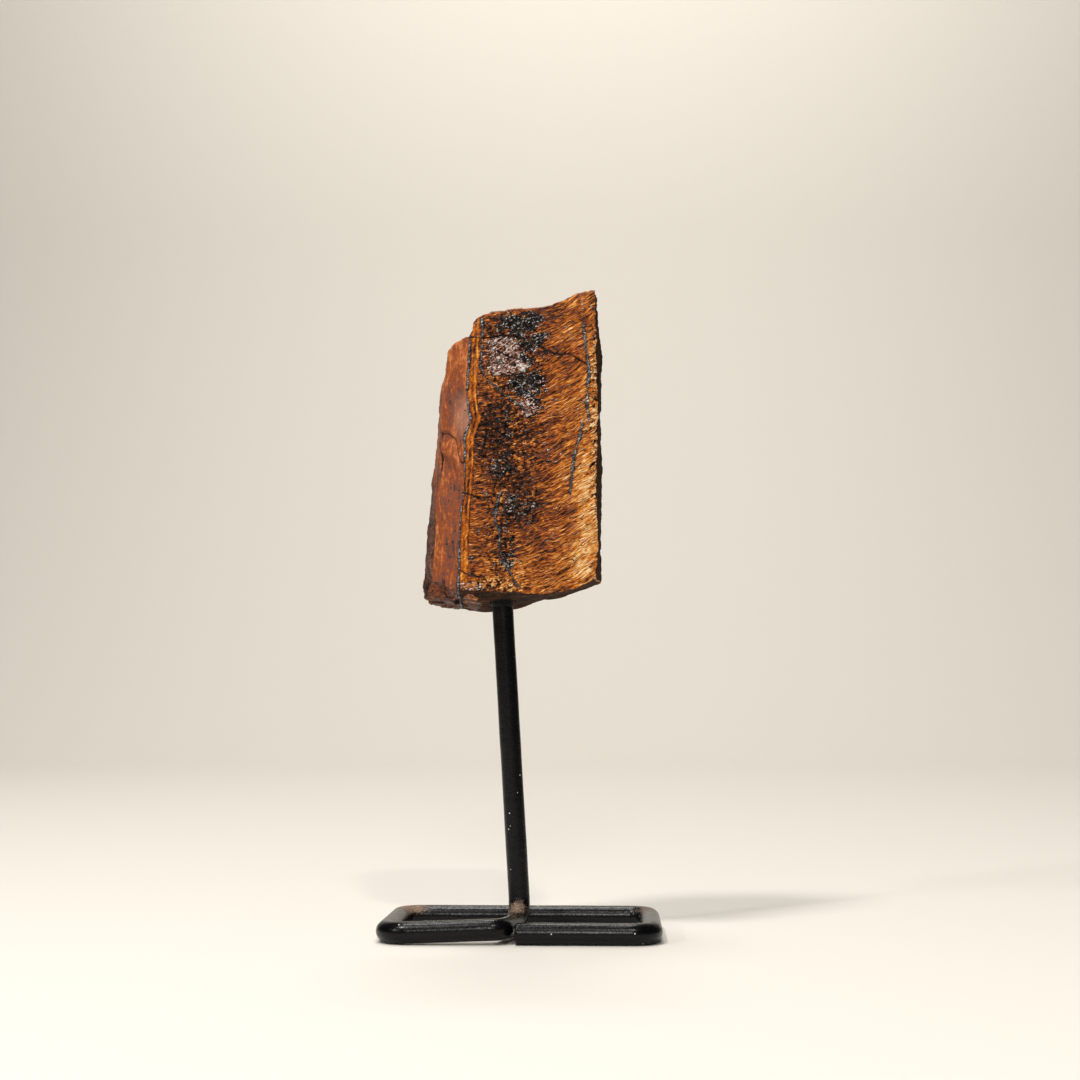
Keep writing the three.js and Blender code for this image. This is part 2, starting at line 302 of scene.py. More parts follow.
class Graph:
    """Adds shader nodes to a material. Every method gives back an output socket."""

    def __init__(self, name):
        self.material = bpy.data.materials.new(name)
        self.material.use_nodes = True
        self.nodes = self.material.node_tree.nodes
        self.links = self.material.node_tree.links
        self.surface = self.nodes["Principled BSDF"]

    def add(self, kind, inputs, output=0, **settings):
        """A node with its inputs, which are sockets or plain values, and its settings."""
        node = self.nodes.new(kind)
        for key, value in settings.items():
            setattr(node, key, value)
        for key, value in inputs.items():
            self.put(node.inputs[key], value)
        return node.outputs[output]

    def put(self, socket, value):
        if isinstance(value, bpy.types.NodeSocket):
            self.links.new(value, socket)
        else:
            socket.default_value = value

    def value(self, name):
        """A number stored at the mesh's vertices."""
        return self.add("ShaderNodeAttribute", {}, "Fac", attribute_name=name)

    def vector(self, name):
        return self.add("ShaderNodeAttribute", {}, "Vector", attribute_name=name)

    def place(self):
        """The place on the object, in millimetres."""
        own = self.add("ShaderNodeTexCoord", {}, "Object")
        return self.stretch(own, (1000.0, 1000.0, 1000.0))

    def stretch(self, vector, scale):
        return self.add("ShaderNodeVectorMath", {0: vector, 1: scale}, operation="MULTIPLY")

    def math(self, operation, first, second=0.0, third=0.0):
        inputs = {0: first, 1: second, 2: third}
        return self.add("ShaderNodeMath", inputs, operation=operation)

    def sum(self, *terms):
        """Adds up terms that are (socket, factor) pairs or plain numbers."""
        total = 0.0
        for term in terms:
            if isinstance(term, tuple):
                total = self.math("MULTIPLY_ADD", term[0], term[1], total)
            else:
                total = self.math("ADD", total, term)
        return total

    def sum_vector(self, vector, shift):
        """The vector moved along all three axes by a (socket, factor) pair."""
        moved = self.math("MULTIPLY", *shift)
        return self.add("ShaderNodeVectorMath", {0: vector, 1: moved}, operation="ADD")

    def tilt(self, vector, angle):
        """The vector turned about Y by an angle in radians."""
        inputs = {"Vector": vector, "Angle": angle}
        return self.add("ShaderNodeVectorRotate", inputs, rotation_type="Y_AXIS")

    def noise(self, vector, size, detail=2.0, rough=0.5, bend=0.0):
        """Noise about zero whose bumps are size millimetres apart along each axis."""
        place = self.stretch(vector, tuple(1.0 / s for s in size))
        inputs = {"Vector": place, "Scale": 1.0, "Detail": detail, "Roughness": rough}
        found = self.add("ShaderNodeTexNoise", {**inputs, "Distortion": bend}, "Fac")
        return self.math("SUBTRACT", found, 0.5)

    def cells(self, vector, size, output="Distance", feature="F1"):
        """Irregular cells of about that size in millimetres."""
        inputs = {"Vector": self.stretch(vector, (1.0 / size,) * 3), "Scale": 1.0}
        return self.add("ShaderNodeTexVoronoi", inputs, output, feature=feature)

    def step(self, value, low, high):
        """0 at low, 1 at high and smooth between."""
        inputs = {"Value": value, "From Min": low, "From Max": high}
        settings = {"interpolation_type": "SMOOTHSTEP"}
        return self.add("ShaderNodeMapRange", inputs, **settings)

    def ramp(self, value, stops):
        """A colour from (position, colour code) stops."""
        found = self.nodes.new("ShaderNodeValToRGB")
        self.links.new(value, found.inputs[0])
        points = found.color_ramp.elements
        while len(points) < len(stops):
            points.new(1.0)
        for point, (at, colour) in zip(points, stops):
            point.position = at
            point.color = srgb(colour)
        return found.outputs[0]

    def mix(self, share, first, second):
        """The first colour at a share of 0 and the second at 1."""
        node = self.nodes.new("ShaderNodeMix")
        node.data_type = "RGBA"
        self.put(node.inputs[0], share)
        self.put(node.inputs[6], first)
        self.put(node.inputs[7], second)
        return node.outputs[2]

    def bump(self, height, distance, strength=1.0):
        """A normal for heights in units of a distance in millimetres."""
        inputs = {"Height": height, "Distance": distance * MM, "Strength": strength}
        return self.add("ShaderNodeBump", inputs)

    def finish(self, colour, roughness, specular=0.5, normal=None):
        """Joins everything to the surface shader and gives back the material."""
        self.put(self.surface.inputs["Base Color"], colour)
        self.put(self.surface.inputs["Roughness"], roughness)
        self.surface.inputs["Specular IOR Level"].default_value = specular
        if normal is not None:
            self.links.new(normal, self.surface.inputs["Normal"])
        return self.material


def fibre_colour(graph, fibre, place, tone, grain):
    """The silky fibres: dark brown in the gaps, orange and gold on the strands, and painted sparkle
    highlights at the palest end.
    """
    streak = graph.noise(fibre, (7.0, 1.2, 2.4), 2.0, 0.5, 0.3)
    strand = graph.noise(fibre, (2.8, 0.32, 0.7), 1.0, 0.6, 0.35)
    fine = graph.noise(fibre, (1.2, 0.17, 0.3), 1.0, 0.6)
    crumb = graph.noise(place, (0.9, 0.8, 0.7), 2.0, 0.7, 1.0)
    crumb = graph.math("MULTIPLY", crumb, grain)
    index = graph.sum(tone, (streak, 0.3), (strand, 0.85), (fine, 1.3), (crumb, 1.8))
    # The palest stops give the cream fibres and also paint sparkle highlights on the brightest strands.
    colour = graph.ramp(index, [
        (0.0, "080403"), (0.14, "1e0c05"), (0.28, "481f0a"), (0.42, "7f3b0e"), (0.55, "af5a17"),
        (0.67, "d07e27"), (0.80, "e2a14a"), (0.90, "ebc183"), (1.0, "f6e3bd"),
    ])
    relief = graph.sum((streak, 0.3), (strand, 1.1), (fine, 0.6), (crumb, 1.4))
    return colour, relief


def mineral_colour(graph, place, pale):
    """The glassy dark mineral: black, and pinkish where it is pale, with silvery glints painted into
    its colour as highlights.
    """
    slant = graph.tilt(place, 0.5)
    coarse = graph.noise(place, (2.0, 1.8, 1.3), 2.0, 0.6, 0.8)
    grain = graph.noise(slant, (0.9, 0.6, 0.42), 1.0, 0.75, 1.0)
    fold = graph.math("ABSOLUTE", graph.noise(slant, (1.5, 1.0, 0.7), 2.0, 0.6, 1.5))
    # Painted highlight: thin bright lines along the folds, like light caught on crumpled foil.
    painted_glint_line = graph.math("MULTIPLY", graph.step(fold, 0.05, 0.0), graph.step(grain, -0.06, 0.1))
    index = graph.sum((pale, 0.16), (coarse, 1.0), (grain, 1.6), (painted_glint_line, 0.3), 0.33)
    # The palest stops of both ramps are painted glints.
    black = graph.ramp(index, [
        (0.0, "020202"), (0.5, "070607"), (0.58, "2b2422"), (0.68, "827b78"), (0.8, "efebe9"),
    ])
    pink = graph.ramp(index, [
        (0.0, "080505"), (0.32, "2b1510"), (0.43, "783f2a"), (0.54, "9a6550"), (0.66, "ad988d"),
        (0.8, "efebe8"),
    ])
    return graph.mix(pale, black, pink), graph.sum((coarse, 0.5), (grain, 1.0), (fold, 1.2))


def vein_colour(graph, place, haze, light):
    """The smooth red-brown left vein, with a grey-purple veil, fine scratches and pits."""
    cloud = graph.noise(place, (1.9, 2.4, 6.0), 3.0, 0.6, 0.6)
    mottle = graph.noise(place, (0.7, 0.7, 0.9), 3.0, 0.65)
    scratch = graph.noise(place, (0.2, 0.2, 3.4), 1.0)
    index = graph.sum((light, 1.0), (cloud, 2.0), (mottle, 1.6), (scratch, 0.7), 0.57)
    colour = graph.ramp(index, [
        (0.0, "35211b"), (0.2, "63443a"), (0.4, "794330"), (0.6, "874524"), (0.8, "9e5629"),
        (1.0, "b87246"),
    ])
    veil = graph.math("MULTIPLY", haze, graph.sum((cloud, 1.0), 0.42))
    colour = graph.mix(veil, colour, srgb("a88674"))
    line = graph.noise(graph.tilt(place, 0.9), (0.24, 0.5, 5.0), 2.0, 0.5, 0.4)
    pit = graph.noise(place, (0.5, 0.5, 0.5), 1.0)
    colour = graph.mix(graph.math("MULTIPLY", graph.step(line, 0.2, 0.3), 0.5), colour, srgb("b58a76"))
    colour = graph.mix(graph.math("MULTIPLY", graph.step(pit, 0.22, 0.3), 0.7), colour, srgb("2f1810"))
    return colour, graph.sum((mottle, 0.35), (scratch, 0.2), (pit, -0.4), (line, -0.3))


def ribbon_colour(graph, place, band, light):
    """The two gold ribbons beside the left seam, crossed by steep fine fibres."""
    wave = graph.noise(place, (1.2, 1.2, 7.0), 3.0, 0.6, 0.4)
    hair = graph.noise(graph.tilt(place, -0.6), (0.17, 0.3, 1.5), 2.0, 0.6, 0.2)
    blotch = graph.noise(place, (1.1, 1.1, 2.2), 2.0, 0.6)
    share = graph.math("DIVIDE", graph.sum((wave, 1.3), band), 2.6)
    stripe = graph.ramp(share, [
        (0.0, "303030"), (0.16, "909090"), (0.30, "b8b8b8"), (0.42, "707070"), (0.48, "585858"),
        (0.56, "949494"), (0.70, "dcdcdc"), (0.80, "808080"), (0.90, "383838"), (1.0, "606060"),
    ])
    stripe = graph.sum((graph.math("POWER", stripe, 0.45), 0.75), -0.53)
    clear = graph.step(graph.noise(place, (2.0, 2.0, 9.0), 1.0), -0.12, 0.12)
    stripe = graph.math("MULTIPLY", stripe, graph.sum((clear, 1.1), 0.35))
    index = graph.sum(stripe, light, (hair, 0.9), (blotch, 1.0), 0.52)
    return graph.ramp(index, [
        (0.0, "120804"), (0.2, "431c06"), (0.38, "863f08"), (0.54, "bb610a"), (0.68, "da8722"),
        (0.84, "edb85c"), (1.0, "f6e2ba"),
    ]), hair


def with_crust(graph, colour, place, broad, ragged, relief, crust):
    """A colour with the crumbly dark crust of the left vein over it, which parts into blocks."""
    shade = graph.sum((ragged, 1.7), (broad, 1.2), (relief, 0.6), 0.46)
    crusty = graph.ramp(shade, [
        (0.1, "0a0504"), (0.35, "2e170e"), (0.55, "5e331f"), (0.75, "85503a"), (1.0, "b98f7f"),
    ])
    colour = graph.mix(crust, colour, crusty)
    bend = graph.sum((broad, 3.2), (ragged, 1.0))
    block = graph.cells(graph.sum_vector(place, (bend, 1.0)), 1.9, feature="DISTANCE_TO_EDGE")
    patchy = graph.step(graph.noise(place, (2.6, 2.6, 3.4), 2.0), -0.12, 0.14)
    gap = graph.math("MULTIPLY", graph.step(block, 0.08, 0.02), graph.step(crust, 0.1, 0.4))
    return graph.mix(graph.math("MULTIPLY", gap, patchy), colour, srgb("120906"))


def skin_and_shade_colour(graph, broad, ragged, relief):
    """The brown skin of the right side and the underside, whose darkness is partly painted shade."""
    shade = graph.sum((ragged, 1.0), (broad, 1.3), (relief, 0.5), 0.5)
    return graph.ramp(shade, [(0.2, "0a0502"), (0.5, "2a1406"), (0.75, "4e2a0b"), (1.0, "7a4615")])


def with_seams(graph, colour, broad, ragged, relief):
    """A colour with the grey seams, their dark rims and the cracks drawn in, and painted shade in the
    deepest hollows.
    """
    seam = graph.math("ABSOLUTE", graph.sum(graph.value("seam"), (ragged, 0.35)))
    width = graph.sum((broad, 1.0), (ragged, 0.4), 0.22)
    past_edge = graph.math("SUBTRACT", seam, width)
    seam_grey = graph.ramp(
        graph.sum((relief, 1.5), 0.44),
        [(0.1, "07080a"), (0.38, "23292e"), (0.6, "525960"), (0.78, "878c91"), (0.96, "dddbd8")],
    )
    dark_rim = graph.math("MULTIPLY", graph.step(past_edge, 0.2, 0.08), 0.85)
    colour = graph.mix(dark_rim, colour, srgb("1f100b"))
    colour = graph.mix(graph.step(past_edge, 0.05, -0.05), colour, seam_grey)
    crack = graph.math("ABSOLUTE", graph.sum(graph.value("crack"), (ragged, 0.9)))
    crack_width = graph.sum((broad, 0.7), 0.22)
    colour = graph.mix(graph.step(crack, crack_width, 0.04), colour, srgb("0c0705"))
    # Painted shade: the deepest hollows of the relief are darkened almost to black.
    return graph.mix(graph.step(graph.value("cavity_shading"), -0.2, -0.7), colour, srgb("120905"))


def stone_material():
    """All the stone's colours, laid over each other by the masks that make_stone stores."""
    graph = Graph("tigers_eye")
    fibre = graph.vector("fibre")
    place = graph.place()
    grain = graph.value("grain")
    band = graph.value("band")
    # Painted light and shade: the fibres are lighter on crests of the relief and darker in its hollows.
    tone = graph.sum(graph.value("tone"), (graph.value("cavity_shading"), 0.22))
    main, main_relief = fibre_colour(graph, fibre, place, tone, grain)
    ragged = graph.noise(place, (1.0, 1.0, 0.6), 3.0, 0.7)
    broad = graph.noise(fibre, (4.0, 2.2, 2.5), 3.0, 0.65, 0.5)
    pale = graph.step(graph.sum(graph.value("pale"), (ragged, 1.6), (broad, 1.2)), 0.15, 0.85)
    mineral, mineral_relief = mineral_colour(graph, place, pale)
    vein, vein_relief = vein_colour(graph, place, graph.value("haze"), graph.value("vein_tone"))
    ribbon, ribbon_relief = ribbon_colour(graph, place, band, graph.value("ribbon_tone"))

    in_mineral = graph.sum(graph.value("mineral"), (ragged, 2.6), (broad, 2.6))
    in_mineral = graph.step(in_mineral, 0.4, 0.56)
    right_edge = graph.step(graph.sum((ragged, 0.5), (broad, 0.8), band), 2.35, 2.15)
    in_ribbon = graph.math("MULTIPLY", graph.step(band, 0.1, 0.25), right_edge)
    in_ribbon = graph.math("MULTIPLY", in_ribbon, graph.value("ribbon"))
    in_vein = graph.step(graph.sum((ragged, 0.12), band), 0.1, -0.1)
    crust = graph.math("MULTIPLY", in_vein, graph.value("crust"))

    colour = graph.mix(in_mineral, main, mineral)
    colour = graph.mix(in_ribbon, colour, ribbon)
    colour = graph.mix(in_vein, colour, vein)
    colour = with_crust(graph, colour, place, broad, ragged, mineral_relief, crust)
    # The skin mask also paints shade: its dark colour darkens the right side and the underside.
    skin = graph.sum(graph.value("skin"), (ragged, 1.6), (broad, 0.6))
    skin = graph.step(skin, 0.35, 0.6)
    colour = graph.mix(skin, colour, skin_and_shade_colour(graph, broad, ragged, main_relief))
    dusty = graph.math("MULTIPLY", graph.value("dusty"), graph.sum((ragged, 0.9), 0.4))
    colour = graph.mix(dusty, colour, srgb("a98670"))
    # Painted glints: sparse pale flecks in the colour stand for glints of light, mostly on the grains
    # and the crust, as well as the stone's own pale flecks.
    painted_glint = graph.noise(place, (0.5, 0.42, 0.34), 2.0, 0.8, 1.2)
    painted_glint_share = graph.sum((grain, 0.75), (crust, 0.55), 0.1)
    painted_glint = graph.math("MULTIPLY", graph.step(painted_glint, 0.13, 0.27), painted_glint_share)
    colour = graph.mix(painted_glint, colour, srgb("d8c2b4"))
    colour = with_seams(graph, colour, broad, ragged, mineral_relief)

    calm = graph.math("SUBTRACT", 1.0, graph.math("MAXIMUM", in_vein, skin))
    relief = graph.sum((main_relief, 1.0), (mineral_relief, 0.6))
    relief = graph.math("MULTIPLY", relief, graph.sum((calm, 0.9), (crust, 0.9), 0.1))
    relief = graph.sum(relief, (vein_relief, 0.16), (ribbon_relief, 0.2))
    normal = graph.bump(relief, 0.5)
    gloss = graph.sum((ragged, 0.4), (in_mineral, -0.06), (in_vein, 0.14), (skin, 0.65), 0.28)
    return graph.finish(colour, gloss, 0.18, normal)


# ---- Stone ----


def fibre_place(points):
    """Places measured along the fibres, across them and through the block, in millimetres.

    The fibres run from wall to wall and rise to the right, more steeply further right.
    """
    x, y, z = points.T
    past = np.maximum(x + 5.0, 0.0)
    rise = 0.14 * x + 0.0115 * past ** 2
    wander = 0.5 * noise(points / 5.0, 11) + 0.22 * noise(points / 2.0, 12)
    return np.stack([x + 0.3 * y, z - rise + wander, y + 0.4 * noise(points / 4.0, 13)], axis=1)


def remeshed_stone():
    """A fine, even mesh of the CAD stone."""
    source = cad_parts["stone"]
    temporary = bpy.data.objects.new("temporary", source.data.copy())
    bpy.context.scene.collection.objects.link(temporary)
    remesh = temporary.modifiers.new("remesh", "REMESH")
    remesh.mode = "VOXEL"
    remesh.voxel_size = VOXEL * MM
    remesh.adaptivity = 0.0
    depsgraph = bpy.context.evaluated_depsgraph_get()
    mesh = bpy.data.meshes.new_from_object(temporary.evaluated_get(depsgraph))
    bpy.data.objects.remove(temporary)
    mesh.name = "stone_block"
    return mesh


def stone_zones(points, normals):
    """Soft masks and signed distances for every vertex, by name."""
    x, y, z = points.T
    facing_front = smooth(-0.35, -0.7, normals[:, 1])
    near_front = smooth(-3.0, -8.0, y)
    wobble = 0.35 * noise(points / 1.6, 21)
    seam_x, seam_z = np.array(LEFT_SEAM).T
    band = x - np.interp(z, seam_z, seam_x)
    in_vein = smooth(0.15, -0.15, band)
    through = [band, beside(RIGHT_SEAM_UPPER, x, z), beside(RIGHT_SEAM_LOWER, x, z)]
    shallow = [beside(line, x, z) * 1.1 + wobble for line in (PATCH_SEAM, LOW_SEAM)]
    shallow = [np.where(near_front > 0.02, distance, 9.0) for distance in shallow]
    seam = nearest(through + shallow)
    crack = nearest([np.where(near_front > 0.5, above(line, x, z), 9.0) for line in CRACKS])
    mineral = patches(x + wobble, z + wobble, MINERAL_PATCHES, 1.5) * near_front
    line_x, line_z = np.array(PATCH_SEAM).T
    past_seam = smooth(-0.1, 0.3, x - np.interp(z, line_z, line_x))
    mineral = mineral * np.where(z > 120.4, past_seam, 1.0)
    traces = patches(x + wobble, z + wobble, MINERAL_TRACES, 1.8) * near_front
    mineral = np.maximum(0.86 * mineral, 0.5 * traces)
    # The skin: the right side and the underside, darkened by its colour partly as painted shade.
    skin = np.maximum(smooth(0.72, 0.9, normals[:, 0]), smooth(-0.7, -0.88, normals[:, 2]))
    bare = patches(x + 2 * wobble, z + 2 * wobble, BARE_CORNER, 1.8)
    skin = skin * (1.0 - in_vein) * (1.0 - bare)
    return {
        "front": facing_front,
        "band": band,
        "in_vein": in_vein,
        "vein_face": in_vein * smooth(-0.42, -0.62, normals[:, 1]) * smooth(80.0, 81.5, z + wobble),
        "crust": in_vein * smooth(-0.62, -0.42, normals[:, 1]) * smooth(112.0, 97.0, z + 9 * wobble),
        "skin": skin,
        "seam": seam,
        "crack": crack,
        "mineral": mineral,
        "pale": patches(x, z, PALE_PATCHES, 1.2),
        "near_front": near_front,
        "grain": patches(x + 2 * wobble, z + 2 * wobble, GRAIN_PATCHES, 1.6) * near_front,
    }


def stone_tone(points, normals, zones):
    """How light the fibres are at each vertex, from 0 to 1, darkened on faces that look down as painted
    shade.
    """
    x, z = points[:, 0], points[:, 2]
    tone = BASE_TONE + 0.1 * noise(points / 6.0, 31) + 0.05 * noise(points / 2.2, 32)
    tone = tone + 0.06 * smooth(2.0, 10.0, x) - 0.02 * smooth(4.0, -8.0, x)
    edge = smooth(11.5, 15.5, x + 0.8 * noise(points / 3.0, 33) + 0.05 * (110.0 - z))
    tone = tone + edge * (0.05 + 0.13 * smooth(125.0, 100.0, z))
    for middle_x, middle_z, half_width, half_height, change in TONE_PATCHES:
        far = ((x - middle_x) / half_width) ** 2 + ((z - middle_z) / half_height) ** 2
        tone = tone + change * np.exp(-far) * zones["near_front"]
    behind = smooth(0.3, 0.8, normals[:, 1])
    tone = tone + behind * (0.16 * noise(points / np.array([7.0, 9.0, 5.0]), 34) - 0.04)
    # Painted shade: faces that look down are darker.
    return tone - 0.16 * smooth(-0.5, -0.9, normals[:, 2])


def stone_relief(points, fibre, zones):
    """How far each vertex of the stone stands out or in, in millimetres."""
    strand = 1.0 - 2.0 * np.abs(noise(fibre / np.array([4.5, 0.8, 1.5]), 41))
    fine = noise(fibre / np.array([2.4, 0.6, 0.9]), 42)
    ledge = noise(fibre / np.array([8.0, 2.2, 3.6]), 43) * 2.4
    ledge = np.floor(ledge) + smooth(0.42, 0.58, ledge - np.floor(ledge))
    crushed = facets(points / 1.25, 44) + 0.5 * facets(points / 0.75, 54)
    lumps = noise(points / 3.2, 64)
    rough = np.maximum(zones["grain"], zones["mineral"])
    broken = 0.11 * strand + 0.12 * fine + 0.17 * ledge + 0.24 * lumps
    broken = broken * (1.0 - 0.3 * rough) + (0.07 + 0.3 * rough) * crushed
    broken = broken * (1.0 - 0.45 * zones["in_vein"])
    low_corner = zones["in_vein"] * smooth(84.5, 81.5, points[:, 2])
    broken = broken + 0.5 * low_corner * facets(points / np.array([2.6, 2.6, 2.0]), 74)
    calm = 0.03 * fine + 0.12 * lumps
    ribbon = smooth(0.2, 0.5, zones["band"]) * smooth(2.4, 2.0, zones["band"]) * zones["front"]
    quiet = np.maximum(np.maximum(zones["vein_face"], 0.45 * zones["skin"]), 0.7 * ribbon)
    height = broken * (1.0 - quiet) + calm * quiet
    beside_seam = (np.abs(zones["seam"]) - SEAM_HALF_WIDTH) / 0.2
    groove = 0.16 * np.exp(-(beside_seam ** 2)) * (1.0 - 0.4 * quiet)
    crack = 0.3 * np.exp(-((zones["crack"] / 0.24) ** 2))
    return height - groove - crack + dent(points) * zones["vein_face"]


def dent(points):
    """The shell-shaped dent of the left vein: a drop, a slope back out and a hollow under it."""
    x, z = points[:, 0], points[:, 2]
    edge = above(DENT_EDGE, x, z)
    hollow = above(DENT_HOLLOW, x, z)
    inner = 0.7 * smooth(0.0, -4.5, edge) - 0.6 * smooth(0.25, -0.5, edge)
    return inner - 1.0 * smooth(1.2, -1.8, hollow) + 0.9 * smooth(-1.0, -13.0, hollow)


def break_edges(points, normals, edges):
    """How far the sharp edges are worn and chipped back, in millimetres."""
    inside = blurred(points, edges, 8)
    sharp = ((points - inside) * normals).sum(axis=1)
    chip = smooth(-0.1, 0.6, noise(points / 2.1, 71)) + 0.5 * smooth(0.0, 0.5, facets(points / 1.2, 72))
    chip = chip * (1.0 + 0.8 * smooth(92.0, 86.0, points[:, 2]))
    return smooth(0.14, 0.42, sharp) * (0.42 * chip - 0.22)


def clear_of_hole(points):
    """0 near the drilled hole, where the stone stays smooth, and 1 away from it and above it."""
    hole = post_point(points[:, 2].min())
    reach = np.hypot(points[:, 0] - hole[0], points[:, 1] - hole[1])
    return smooth(3.6, 5.5, reach + 20.0 * (points[:, 2] > HOLE_TOP))


def closing_in(points):
    """Moves that narrow the drilled hole, so that stone meets the glue close to the post."""
    height = np.clip(points[:, 2], 60.0, 90.0)
    out = points - np.array([post_point(level) for level in height])
    out[:, 2] = 0.0
    reach = np.linalg.norm(out, axis=1)
    near = smooth(6.5, 3.5, reach) * (points[:, 2] < 92.0)
    return -out / np.maximum(reach, 0.1)[:, None] * (0.65 * near)[:, None]


def store_masks(mesh, points, normals, zones):
    """Stores what the stone's material reads at each vertex."""
    x, z = points[:, 0], points[:, 2]
    add_value(mesh, "tone", stone_tone(points, normals, zones))
    for name in ("band", "seam", "crack", "mineral", "pale", "skin", "grain"):
        add_value(mesh, name, zones[name])
    haze = smooth(126.0, 121.0, z) * smooth(112.0, 118.0, z) * smooth(-16.5, -13.0, x)
    add_value(mesh, "haze", haze)
    add_value(mesh, "vein_tone", 0.11 * smooth(124.0, 131.0, z) - 0.08 * smooth(106.0, 94.0, z))
    add_value(mesh, "ribbon", np.maximum(zones["front"], 0.6) * smooth(80.3, 81.8, z))
    add_value(mesh, "ribbon_tone", -0.09 * smooth(97.0, 103.0, z) * smooth(116.0, 110.0, z))
    add_value(mesh, "dusty", smooth(0.5, 0.85, normals[:, 2]))
    low_corner = smooth(81.5, 80.0, z) * zones["in_vein"]
    behind = 0.8 * smooth(0.1, 0.4, normals[:, 1]) * zones["in_vein"]
    add_value(mesh, "crust", np.maximum(np.maximum(zones["crust"], 0.42 * low_corner), behind))


def make_stone():
    """The CAD stone, remeshed finely and broken up, with its masks and its material."""
    mesh = remeshed_stone()
    edges = mesh_edges(mesh)
    points = mesh_points(mesh) / MM
    normals = blurred(mesh_points(mesh, "normal"), edges, 5)
    normals /= np.linalg.norm(normals, axis=1)[:, None]
    points = blurred(points, edges, 1)
    fibre = fibre_place(points)
    zones = stone_zones(points, normals)
    height = stone_relief(points, fibre, zones) - break_edges(points, normals, edges)
    height = height * clear_of_hole(points)
    # How far each vertex stands above or below its neighbours, which the material uses to paint light
    # on crests and shade in hollows.
    cavity_shading = np.clip((height - blurred(height, edges, 6)) / 0.3, -1.0, 1.0)
    shaped = points + normals * height[:, None] + closing_in(points)
    set_points(mesh, shaped * MM)

    add_vector(mesh, "fibre", fibre)
    add_value(mesh, "cavity_shading", cavity_shading)
    store_masks(mesh, points, normals, zones)
    link_piece("stone_block", mesh, "stone", stone_material())


# ---- Stand ----

ROD_RADIUS = 2.45
ROD_SIDES = 40
BACK_LEFT_INSET = 0.8  # the left run splays out towards the front
CORNER_RADIUS = 4.8
CUT_END_X = -0.6  # where the front right run starts
TURN_X = -3.75  # where the front left run turns to the back
TURN_RISE = 0.95  # how far that end is bent up off the surface
TURN_RADIUS = 2.7
ELBOW_RADIUS = 6.0
FOOT_RISE = 0.15  # how far the elbow under the post stays off the surface
POST_FOOT_X = -0.1
POST_LEAN = math.radians(3.34)  # towards -X
STATION_GAP = 0.55  # between the rings of the swept mesh
END_CHAMFER = 0.3


def post_point(height):
    """The middle of the leaning post at a height."""
    rise = height - ROD_RADIUS - TURN_RISE
    return np.array([POST_FOOT_X - rise * math.tan(POST_LEAN), 0.0, height])


def rod_route():
    """Points and directions along the bent rod, from its cut end to the top of the post."""
    low, high = (np.array(corner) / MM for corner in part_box("stand"))
    raised = ROD_RADIUS + TURN_RISE
    left, right = low[0] + ROD_RADIUS, high[0] - ROD_RADIUS
    back = high[1] - ROD_RADIUS
    corners = [
        (CUT_END_X, -back, ROD_RADIUS), (right, -back, ROD_RADIUS), (right, back, ROD_RADIUS),
        (left + BACK_LEFT_INSET, back, ROD_RADIUS), (left, -back, ROD_RADIUS),
        (TURN_X, -back, raised), post_point(ROD_RADIUS + FOOT_RISE), post_point(high[2]),
    ]
    corners = [np.array(corner, float) for corner in corners]
    radii = [CORNER_RADIUS] * 4 + [TURN_RADIUS, ELBOW_RADIUS]
    places, ways = [corners[0]], []
    for before, corner, after, radius in zip(corners, corners[1:], corners[2:], radii):
        coming, going = corner - before, after - corner
        coming, going = coming / np.linalg.norm(coming), going / np.linalg.norm(going)
        turn = math.acos(float(coming @ going))
        inward = going - coming * math.cos(turn)
        inward /= np.linalg.norm(inward)
        start = corner - coming * radius * math.tan(turn / 2)
        run_straight(places, ways, start, coming)
        centre = start + inward * radius
        count = max(6, round(turn * radius / STATION_GAP))
        for angle in np.linspace(0.0, turn, count + 1)[1:]:
            along, across = math.sin(angle), math.cos(angle)
            places.append(centre + radius * (coming * along - inward * across))
            ways.append(coming * across + inward * along)
    last = corners[-1] - places[-1]
    run_straight(places, ways, corners[-1], last / np.linalg.norm(last))
    ways.insert(0, ways[0])
    return np.array(places), np.array(ways)


def run_straight(places, ways, end, way):
    """Adds evenly spaced stations from the last place to the end of a straight run."""
    start = places[-1]
    count = max(1, round(np.linalg.norm(end - start) / STATION_GAP))
    for step in range(1, count + 1):
        places.append(start + (end - start) * step / count)
        ways.append(way)


def swept(places, ways, radii, sides):
    """Vertices and faces of a round bar swept along a route, closed at both ends."""
    side = np.cross(ways[0], (0.0, 0.0, 1.0))
    rings = []
    around = np.arange(sides) / sides * 2 * math.pi
    for place, way, radius in zip(places, ways, radii):
        side = side - way * (side @ way)
        side /= np.linalg.norm(side)
        other = np.cross(way, side)
        circle = np.outer(np.cos(around), side) + np.outer(np.sin(around), other)
        rings.append(place + radius * circle)
    points = np.concatenate(rings + [places[:1], places[-1:]])
    faces = []
    for ring in range(len(places) - 1):
        here, there = ring * sides, (ring + 1) * sides
        for i in range(sides):
            j = (i + 1) % sides
            faces.append((here + i, here + j, there + j, there + i))
    first, last = len(points) - 2, len(points) - 1
    end = (len(places) - 1) * sides
    for i in range(sides):
        j = (i + 1) % sides
        faces.append((first, j, i))
        faces.append((last, end + i, end + j))
    return points, faces


